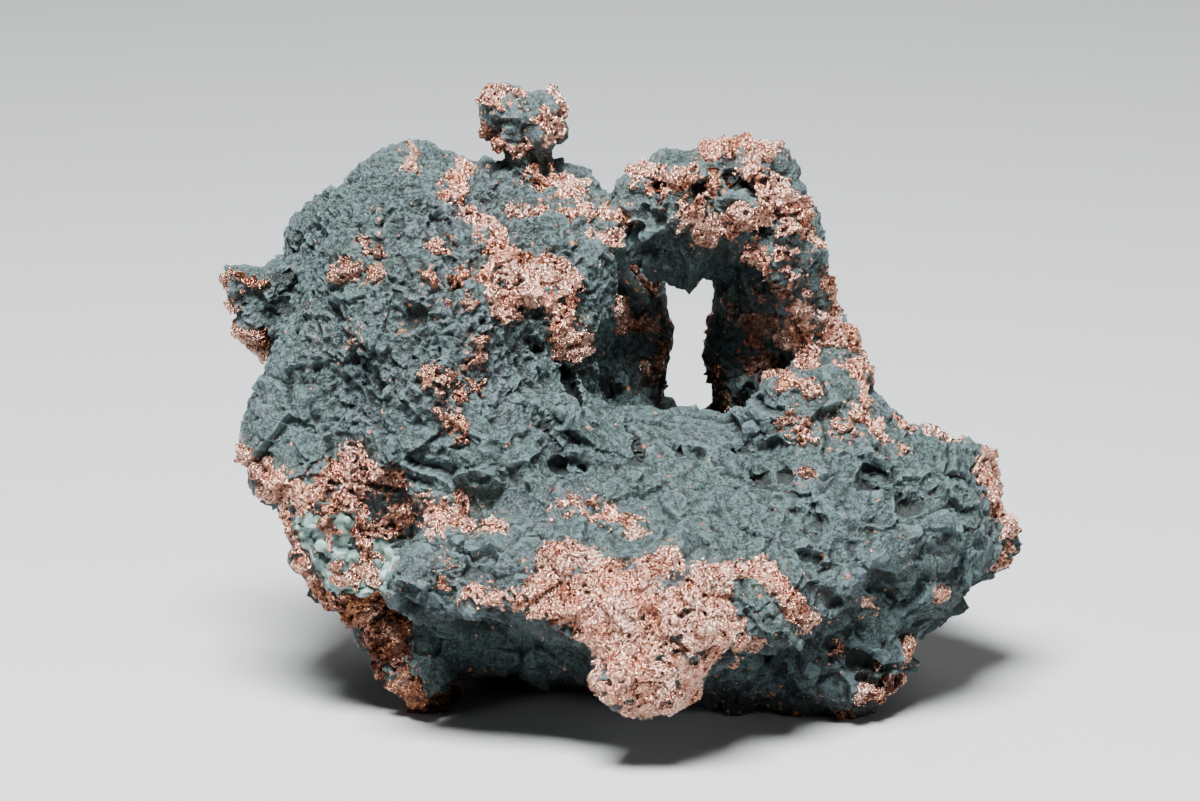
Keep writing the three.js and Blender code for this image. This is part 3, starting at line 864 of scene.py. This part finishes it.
def crumb_group():
    """Tight crystal grains: tops, and a mask of the gaps between them, where shade is painted."""
    tree, given, out = new_group(
        "crumbs",
        [("Place", VECTOR, None), ("Size", FLOAT, 0.2)],
        [("Height", FLOAT), ("Gap", FLOAT)])
    scale = calc(tree, "DIVIDE", 1.0, given["Size"])
    bent = noise(tree, given["Place"], calc(tree, "MULTIPLY", scale, 0.8), 3.0, 0.7)
    shift = scaled(tree, joined(tree, bent), calc(tree, "MULTIPLY", given["Size"], 1.6))
    place = vector_calc(tree, "ADD", given["Place"], shift)
    far = crackle(tree, place, scale).outputs["Distance"]
    feed(tree, calc(tree, "SUBTRACT", 1.0, far), out["Height"])
    feed(tree, between(tree, far, 0.42, 0.78), out["Gap"])
    return tree


def drift_group():
    """A soft share from 0 to 1 that drifts over the surface, with ragged edges."""
    tree, given, out = new_group(
        "drift",
        [("Place", VECTOR, None), ("Size", FLOAT, 5.0), ("Low", FLOAT, 0.4), ("High", FLOAT, 0.6)],
        [("Share", FLOAT)])
    scale = calc(tree, "DIVIDE", 1.0, given["Size"])
    value = noise(tree, given["Place"], scale, 5.0, 0.6, 0.4)
    feed(tree, between(tree, value, given["Low"], given["High"]), out["Share"])
    return tree


def glint_group():
    """A normal that leans a different way on each tiny crystal face."""
    tree, given, out = new_group(
        "glints",
        [("Place", VECTOR, None), ("Size", FLOAT, 0.3), ("Lean", FLOAT, 0.5)],
        [("Normal", VECTOR), ("Shade", FLOAT)])
    faces = crackle(tree, given["Place"], calc(tree, "DIVIDE", 1.0, given["Size"]))
    lean = vector_calc(tree, "SUBTRACT", faces.outputs["Color"], (0.5, 0.5, 0.5))
    facing = tree.nodes.new("ShaderNodeNewGeometry").outputs["Normal"]
    leaning = vector_calc(tree, "ADD", facing, scaled(tree, lean, given["Lean"]))
    feed(tree, vector_calc(tree, "NORMALIZE", leaning), out["Normal"])
    parts = tree.nodes.new("ShaderNodeSeparateColor")
    feed(tree, faces.outputs["Color"], parts.inputs[0])
    feed(tree, parts.outputs[0], out["Shade"])
    return tree


GRIT = grit_group()
DRIFT = drift_group()
GLINTS = glint_group()
FLECKS = fleck_group()
CRUMBS = crumb_group()


def use(tree, group, **values):
    """A group placed in a material with its own values."""
    made = tree.nodes.new("ShaderNodeGroup")
    made.node_tree = group
    for label, value in values.items():
        feed(tree, value, made.inputs[label])
    return made.outputs


def drift(tree, place, size, low, high):
    return use(tree, DRIFT, Place=place, Size=size, Low=low, High=high)["Share"]


def laid(tree, colour, tint, share, strength=1.0):
    """The colour with a tint over it, as strong as the share times the strength."""
    return blend(tree, calc(tree, "MULTIPLY", share, strength), colour, tint)


def new_material(name):
    made = bpy.data.materials.new(name)
    made.use_nodes = True
    tree = made.node_tree
    return made, tree, tree.nodes["Principled BSDF"].inputs


BARE = (0.98, 0.69, 0.57, 1)
WARM = (0.80, 0.38, 0.25, 1)
GOLDEN = (0.56, 0.255, 0.115, 1)
TARNISHED = (0.10, 0.034, 0.022, 1)
AMBER = (0.75, 0.36, 0.13, 1)
# painted shade for the copper's hollows and the gaps between its grains
CREVICE_SHADE = (0.11, 0.026, 0.014, 1)


# Each tint is laid over the ones before it, so the order of the lines is the order of the layers.


def rock_tints(tree, place, patch, lump, speck, near):
    """The rock's own colours: teal to slate, with green, violet, rust and pale powdery patches."""
    wide = noise(tree, place, 0.11, 4.0, 0.6)
    colour = blend(tree, between(tree, wide, 0.35, 0.65),
                   (0.010, 0.042, 0.030, 1), (0.024, 0.045, 0.058, 1))
    colour = laid(tree, colour, (0.044, 0.082, 0.084, 1), between(tree, patch, 0.35, 0.75))
    colour = laid(tree, colour, (0.080, 0.132, 0.145, 1), drift(tree, place, 2.6, 0.5, 0.74), 0.6)
    colour = laid(tree, colour, (0.030, 0.072, 0.030, 1), drift(tree, place, 2.2, 0.5, 0.68), 0.65)
    colour = laid(tree, colour, (0.060, 0.068, 0.092, 1), drift(tree, place, 3.4, 0.5, 0.66), 0.6)
    rusty = calc(tree, "MULTIPLY", drift(tree, place, 1.0, 0.46, 0.62), near)
    colour = laid(tree, colour, (0.105, 0.050, 0.026, 1), rusty, 0.5)
    for grain, light, dark in ((lump, 0.35, -0.75), (speck, 0.75, -1.0)):
        lean = between(tree, grain, 0.34, 0.66, -1.0, 1.0)
        colour = laid(tree, colour, (0.115, 0.185, 0.195, 1), lean, light)
        colour = laid(tree, colour, (0.006, 0.014, 0.011, 1), lean, dark)
    return colour


def rock_material():
    """Dark green-grey basalt: softly blotched and gritty, with painted highlights and painted shade.
    """
    made, tree, inputs = new_material("host_rock")
    place = millimetres(tree)
    hollow = tone(tree, "hollow")
    near = tone(tree, "near_copper")
    shut = tone(tree, "shut")
    patch = noise(tree, place, 0.45, 5.0, 0.65, 0.5)
    open_share = calc(tree, "MULTIPLY", between(tree, patch, 0.36, 0.6, 0.25, 1.0),
                      tone(tree, "porous"))
    grit = use(tree, GRIT, Place=place, Size=0.42, Pores=open_share)
    speck = noise(tree, place, 5.6, 3.0, 0.75)
    colour = rock_tints(tree, place, patch, grit["Lump"], speck, near)
    # painted highlight: lighter on the sharpest crests
    colour = laid(tree, colour, (0.125, 0.195, 0.207, 1), between(tree, hollow, -0.05, -0.8), 0.5)
    # painted shade: dark in the small hollows
    colour = laid(tree, colour, (0.004, 0.008, 0.008, 1), between(tree, hollow, 0.0, 0.7), 0.88)
    # painted shade: darker on the undersides, where the surface faces down
    colour = laid(tree, colour, (0.006, 0.010, 0.010, 1), tone(tree, "under"), 0.5)
    # painted shade: dark where rock and ground close a place in
    colour = laid(tree, colour, (0.008, 0.013, 0.013, 1), shut, 0.88)
    # painted shade: darker in the deep pockets
    pocket = between(tree, tone(tree, "deep"), 0.1, 0.9)
    colour = laid(tree, colour, (0.012, 0.022, 0.020, 1), pocket, 0.6)
    # painted shade: dark in the pores
    colour = laid(tree, colour, (0.005, 0.009, 0.009, 1), grit["Pore"], 0.92)
    cluster = drift(tree, place, 3.0, 0.56, 0.74)
    share = calc(tree, "MULTIPLY_ADD", near, 0.3, calc(tree, "MULTIPLY_ADD", cluster, 0.14, 0.012))
    share = calc(tree, "MULTIPLY_ADD", shut, 0.14, share)
    fewer = calc(tree, "MULTIPLY", share, 0.7)
    metal = calc(tree, "MAXIMUM", use(tree, FLECKS, Place=place, Size=0.3, Share=share)["Mask"],
                 use(tree, FLECKS, Place=place, Size=0.6, Share=fewer)["Mask"])
    golden = calc(tree, "MAXIMUM", shut, calc(tree, "MULTIPLY", cluster, 0.8))
    colour = blend(tree, metal, colour, blend(tree, golden, WARM, AMBER))
    feed(tree, colour, inputs["Base Color"])
    feed(tree, metal, inputs["Metallic"])
    rough = calc(tree, "SUBTRACT", 0.66, calc(tree, "MULTIPLY", metal, 0.3))
    feed(tree, rough, inputs["Roughness"])
    coarse = bump(tree, noise(tree, place, 0.8, 6.0, 0.68), 1.0, 0.0009)
    height = calc(tree, "ADD", grit["Height"], calc(tree, "MULTIPLY", metal, 0.4))
    height = calc(tree, "ADD", height, calc(tree, "MULTIPLY", speck, 0.5))
    feed(tree, bump(tree, height, 1.0, 0.00035, coarse), inputs["Normal"])
    return made


def copper_material():
    """Hackly native copper: pinkish, golden or tarnished, with painted shade in hollows and between
    grains.
    """
    made, tree, inputs = new_material("native_copper")
    place = millimetres(tree)
    hollow = tone(tree, "hollow")
    aged = tone(tree, "aged")
    fine = use(tree, GLINTS, Place=place, Size=0.26, Lean=0.85)
    crumbs = use(tree, CRUMBS, Place=place, Size=0.21)
    colour = blend(tree, drift(tree, place, 1.8, 0.3, 0.7), BARE, WARM)
    old = blend(tree, drift(tree, place, 1.2, 0.36, 0.54), GOLDEN, TARNISHED)
    colour = blend(tree, aged, colour, old)
    # painted shade: dark red-brown in the crust's hollows and in the gaps between its grains
    shade = between(tree, hollow, -0.1, 0.6)
    dark = calc(tree, "MAXIMUM", calc(tree, "MULTIPLY", shade, 0.78),
                calc(tree, "MULTIPLY", crumbs["Gap"], 0.6))
    colour = blend(tree, dark, colour, CREVICE_SHADE)
    # painted shade: darker where the copper is shut in
    colour = laid(tree, colour, (0.04, 0.014, 0.006, 1), tone(tree, "shut"), 0.45)
    feed(tree, colour, inputs["Base Color"])
    inputs["Metallic"].default_value = 1.0
    rough = calc(tree, "ADD", 0.14, calc(tree, "MULTIPLY", fine["Shade"], 0.2))
    feed(tree, rough, inputs["Roughness"])
    feed(tree, bump(tree, crumbs["Height"], 1.0, 0.00022, fine["Normal"]), inputs["Normal"])
    return made


def mineral_material():
    """Cloudy pale green mineral between the copper at the lower left."""
    made, tree, inputs = new_material("cloudy_mineral")
    place = millimetres(tree)
    hollow = tone(tree, "hollow")
    clouds = drift(tree, place, 1.6, 0.38, 0.62)
    grit = use(tree, GRIT, Place=place, Size=0.4, Pores=0.3)
    colour = blend(tree, clouds, (0.050, 0.105, 0.095, 1), (0.23, 0.33, 0.30, 1))
    # painted shade: darker in the hollows
    colour = laid(tree, colour, (0.04, 0.065, 0.06, 1), between(tree, hollow, 0.0, 0.9), 0.7)
    feed(tree, colour, inputs["Base Color"])
    rough = calc(tree, "ADD", 0.32, calc(tree, "MULTIPLY", grit["Height"], 0.3))
    feed(tree, rough, inputs["Roughness"])
    feed(tree, bump(tree, grit["Height"], 0.6, 0.00015), inputs["Normal"])
    return made


def floor_material():
    """Pale matt paper with a faint tooth."""
    made, tree, inputs = new_material("pale_floor")
    place = millimetres(tree)
    tooth = noise(tree, place, 0.8, 3.0)
    feed(tree, blend(tree, tooth, (0.34, 0.35, 0.36, 1), (0.37, 0.38, 0.39, 1)),
         inputs["Base Color"])
    inputs["Roughness"].default_value = 0.75
    return made


# --- Pieces -------------------------------------------------------------------------------------


def hollows(points, quads, normals, turns, depth):
    """-1 on sharp crests to 1 in hollows: how far a relaxed surface stands over the points."""
    lifted = relaxed(points, quads, turns) - points
    return np.clip((lifted * normals).sum(1) / depth, -1, 1)


def settle(piece, replaced=None):
    """Hangs a piece on the nugget's one body, and hides the CAD part that it replaces, if any."""
    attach(piece, "root")
    if replaced:
        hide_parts(replaced)
    return piece


def build_rock(skin, copper_cover, material):
    """The host rock, which stands in for the CAD nugget."""
    points, quads, normals = skin["points"], skin["quads"], skin["normals"]
    relief = skin["ground"] + fine_relief(points, skin["plated"])
    sunk = smoothed((copper_cover - 0.3) / 0.6) * 0.25
    shaped = points + normals * (relief - sunk)[:, None]
    shaped[:, 2] = np.maximum(shaped[:, 2], 0)
    facing = normals_of(shaped, quads)
    # hollow, under, deep and shut set painted shade in the rock's colour; hollow also a painted
    # highlight
    tones = {
        "hollow": hollows(shaped, quads, facing, 5, 0.11),
        "under": smoothed((-0.3 - normals[:, 2]) / 0.5),
        "deep": hollows(shaped, quads, facing, 40, 0.5),
        "near_copper": smoothed((copper_cover + 1.2) / 1.4),
        "porous": 0.45 + 0.55 * dome_share(points),
        "shut": skin["shut"],
    }
    rock = mesh_object("rock", shaped, [quads], material, tones, smooth=False)
    thinned(rock, ROCK_TRIANGLES)
    return settle(rock, "nugget")


def crust_height(points, edge, looks):
    """How far the crust stands over the rock, in mm; below 0 its rim is sunk in the rock."""
    seed = looks["seed"]
    ragged = layered(points, 1.6, seed, 3, 0.75) * looks["ragged"]
    ragged += layered(points, 0.6, seed + 3, 2, 0.8) * 0.22
    worn = (looks["whole"] - layered(points, 1.7, seed + 17, 3, 0.7)) * 1.3
    rise = smoothed(np.minimum(edge + ragged + looks["grown"], worn) / 0.35)
    loose = warped(points, 0.8, seed + 21, 0.22)
    lumps = blocks(loose, 2.1, seed + 5) * looks["lumps"] + facets(loose, 1.2, seed + 6) * 0.6
    hackles = facets(loose, 0.6, seed + 7) * 0.36 + blocks(points, 0.36, seed + 9) * 0.24
    knobs = smoothed(pores(points, 1.5, seed + 13, 1.0)) * looks["knobs"]
    rough = (lumps + hackles) * (1 - 0.8 * (looks["knobs"] > 0))
    return -RIM_DEPTH + rise * (RIM_DEPTH + looks["thick"] * (0.4 + rough) + knobs)


def build_crust(name, skin, balls, material, looks, smooth=False):
    """A hackly crust over the balls' area: closed, its rim and its back sunk in the rock."""
    near = cover(skin["points"], balls)
    columns = np.hstack([skin["points"], skin["normals"], skin["ground"][:, None],
                         skin["shut"][:, None]])
    values, coarse = part_of(columns, skin["quads"], near > -CRUST_REACH)
    points = values[:, :3]
    raised = crust_height(points, cover(points, balls), looks) > -0.8 * RIM_DEPTH
    values, coarse = part_of(values, coarse, raised)
    count = len(values)
    under = values[:, :3] + values[:, 3:6] * (values[:, 6:7] - BACK_DEPTH)
    under[:, 2] = np.maximum(under[:, 2], 0.3)
    values, fine, half = split(values, coarse)
    points = values[:, :3]
    normals = values[:, 3:6] / np.linalg.norm(values[:, 3:6], axis=1)[:, None]
    crust = crust_height(points, cover(points, balls), looks)
    outer = points + normals * (values[:, 6] + crust)[:, None]
    outer[:, 2] = np.maximum(outer[:, 2], 0.01)
    start, end, alone = open_sides(coarse)
    middle = half.ravel()[alone]
    back = len(outer)
    rim = np.stack([end, middle, start, start + back, end + back], 1)
    dents = hollows(outer, fine, normals_of(outer, fine), 5, 0.07)
    aged = looks["aged"] + layered(points, 3.0, looks["seed"] + 11, 2) * 0.35
    aged += values[:, 7] * 0.7
    # hollow and shut set painted shade on the copper, and hollow on the mineral
    tones = {
        "hollow": np.concatenate([dents, np.ones(count)]),
        "aged": np.concatenate([np.clip(aged, 0, 1), np.ones(count)]),
        "shut": np.concatenate([values[:, 7], np.ones(count)]),
    }
    faces = [fine, coarse[:, ::-1] + back, rim]
    piece = mesh_object(name, np.vstack([outer, under]), faces, material, tones, smooth)
    return settle(piece)


def crust_looks(seed, **changes):
    """How a crust looks: the usual values, with this one's own changes."""
    looks = {"seed": seed, "ragged": 0.4, "grown": 0.35, "thick": 0.42, "aged": 0.05,
             "lumps": 0.9, "knobs": 0.0, "whole": 0.5}
    looks.update(changes)
    return looks


def pushed(points, normals, strokes, tree):
    """The points moved in (depth over 0) or out along the strokes."""
    into = np.zeros(len(points))
    out = np.zeros(len(points))
    loose = warped(points, 1.8, 97, 0.7)
    for (x, y, z, radius), depth in zip(*beads(strokes, tree, with_depth=True)):
        near = np.flatnonzero(np.abs(loose[:, 0] - x) < radius)
        far = np.linalg.norm(loose[near] - (x, y, z), axis=1)
        share = smoothed(1 - far / radius) * depth
        into[near] = np.maximum(into[near], share)
        out[near] = np.minimum(out[near], share)
    return points - normals * (into + out)[:, None]


def pinched(points, strokes, tree):
    """The points drawn towards a middle that lies under the strokes."""
    moved = np.zeros_like(points)
    strongest = np.zeros(len(points))
    for (x, y, z, radius), amount in zip(*beads(strokes, tree, 0.8, with_depth=True)):
        middle = np.array((x, y, z)) + AHEAD * radius * 0.5
        away = middle - points
        share = smoothed(1.3 - np.linalg.norm(away, axis=1) / radius) * amount
        better = share > strongest
        moved[better] = (away * share[:, None])[better]
        strongest[better] = share[better]
    return points + moved


def make_skin():
    """The even surface that rock and crusts are both raised from."""
    points, quads = even_skin()
    points = eased(points, quads, SOFTENING)
    tree = BVHTree.FromPolygons(points.tolist(), quads.tolist())
    free = openness(points, normals_of(points, quads), tree)[:, None]
    free = relaxed(free, quads, 4)
    both, quads, _ = split(np.hstack([points, free]), quads)
    points, free = both[:, :3], both[:, 3]
    points = relaxed(points, quads, 2)
    tree = BVHTree.FromPolygons(points.tolist(), quads.tolist())
    points = pinched(points, PINCHED, tree)
    points = pushed(points, normals_of(points, quads), HOLLOWS, tree)
    normals = normals_of(points, quads)
    tree = BVHTree.FromPolygons(points.tolist(), quads.tolist())
    plated, hackly, calm = (smoothed(cover(points, beads(strokes, tree)) / 1.5 + 0.4)
                            for strokes in (PLATED, HACKLY, CALM))
    return {"points": points, "quads": quads, "normals": normals, "tree": tree,
            "plated": plated, "ground": coarse_relief(points, plated, hackly, calm),
            "shut": smoothed((SHUT_FROM - free) / SHUT_SPAN)}


def make_nugget():
    """The rock, its copper and its mineral, all raised from one skin."""
    skin = make_skin()
    patches = {
        "crown_copper": (CROWN, crust_looks(100)),
        "dome_top_copper": (DOME_TOP, crust_looks(120)),
        "dome_face_copper": (DOME_FACE, crust_looks(140, thick=0.5, lumps=1.2, whole=0.65)),
        "dome_flecks": (DOME_SPARSE, crust_looks(160, ragged=0.65, aged=0.4)),
        "left_knob_copper": (LEFT_KNOB, crust_looks(180, aged=0.45)),
        "arch_copper": (ARCH, crust_looks(200, ragged=0.55, thick=0.55)),
        "cave_flecks": (CAVE_SPARSE, crust_looks(220, ragged=0.9, aged=0.3, grown=0.0)),
        "right_top_copper": (RIGHT_TOP, crust_looks(240, ragged=0.5)),
        "right_edge_copper": (RIGHT_EDGE, crust_looks(260, aged=0.15)),
        "shelf_copper": (SHELF, crust_looks(280, ragged=0.7, thick=0.25)),
        "front_copper": (FRONT, crust_looks(300, thick=0.34, lumps=0.9, whole=0.8)),
        "leg_top_copper": (LEG_TOP, crust_looks(310, aged=0.3, ragged=0.5)),
        "leg_copper": (LEG, crust_looks(320, aged=0.85, ragged=0.45, whole=0.75)),
    }
    copper = copper_material()
    balls = {name: beads(strokes, skin["tree"]) for name, (strokes, _) in patches.items()}
    balls["back_copper"] = hidden_beads(skin, 140, 7)
    balls["side_copper"] = hidden_beads(skin, 140, 9)
    mineral_balls = beads(MINERAL, skin["tree"])
    every = np.vstack(list(balls.values()) + [mineral_balls])
    build_rock(skin, cover(skin["points"], every), rock_material())
    for name, (_, looks) in patches.items():
        build_crust(name, skin, balls[name], copper, looks)
    for name, seed in (("back_copper", 340), ("side_copper", 380)):
        looks = crust_looks(seed, ragged=0.6, aged=0.3)
        thinned(build_crust(name, skin, balls[name], copper, looks), BACK_TRIANGLES)
    build_crust("pale_mineral", skin, mineral_balls, mineral_material(),
                crust_looks(360, thick=0.35, ragged=0.3, knobs=0.45, whole=0.85), smooth=True)


# --- Room ---------------------------------------------------------------------------------------


def make_floor():
    half = 1500.0
    corners = np.array([(-half, -half, 0), (half, -half, 0), (half, half, 0), (-half, half, 0)])
    floor = mesh_object("floor", corners, [np.array([[0, 1, 2, 3]])], floor_material())
    floor.location.z = CAD_LOW.z - 0.00002


def soft_light(name, spot, size, power):
    """A rectangular soft light at the spot (mm), facing the nugget's middle."""
    lamp = bpy.data.lights.new(name, "AREA")
    lamp.shape = "RECTANGLE"
    lamp.size, lamp.size_y = size[0] * MM, size[1] * MM
    lamp.energy = power
    holder = bpy.data.objects.new(name, lamp)
    holder.location = Vector(spot) * MM
    aim = Vector(MIDDLE) * MM - holder.location
    holder.rotation_euler = aim.to_track_quat("-Z", "Y").to_euler()
    bpy.context.scene.collection.objects.link(holder)


def make_lights():
    soft_light("overhead_softbox", (-40, -130, 380), (200, 130), 10.2)
    soft_light("left_fill", (-420, -260, 200), (200, 200), 0.3)
    soft_light("right_fill", (380, -320, 220), (200, 200), 0.4)
    soft_light("back_edge", (60, 420, 260), (300, 160), 0.6)
    world = bpy.data.worlds.new("studio_air")
    world.use_nodes = True
    air = world.node_tree.nodes["Background"].inputs
    air["Color"].default_value = (0.55, 0.58, 0.62, 1)
    air["Strength"].default_value = 0.05
    bpy.context.scene.world = world


def make_camera():
    lens = bpy.data.cameras.new("camera")
    lens.lens = LENS
    lens.sensor_width = SENSOR
    lens.clip_start = 0.01
    holder = bpy.data.objects.new("camera", lens)
    holder.location = Vector(EYE) * MM
    holder.rotation_euler = (math.pi / 2 - VIEW_TILT, 0, 0)
    bpy.context.scene.collection.objects.link(holder)
    bpy.context.scene.camera = holder


make_camera()
make_floor()
make_lights()
make_nugget()
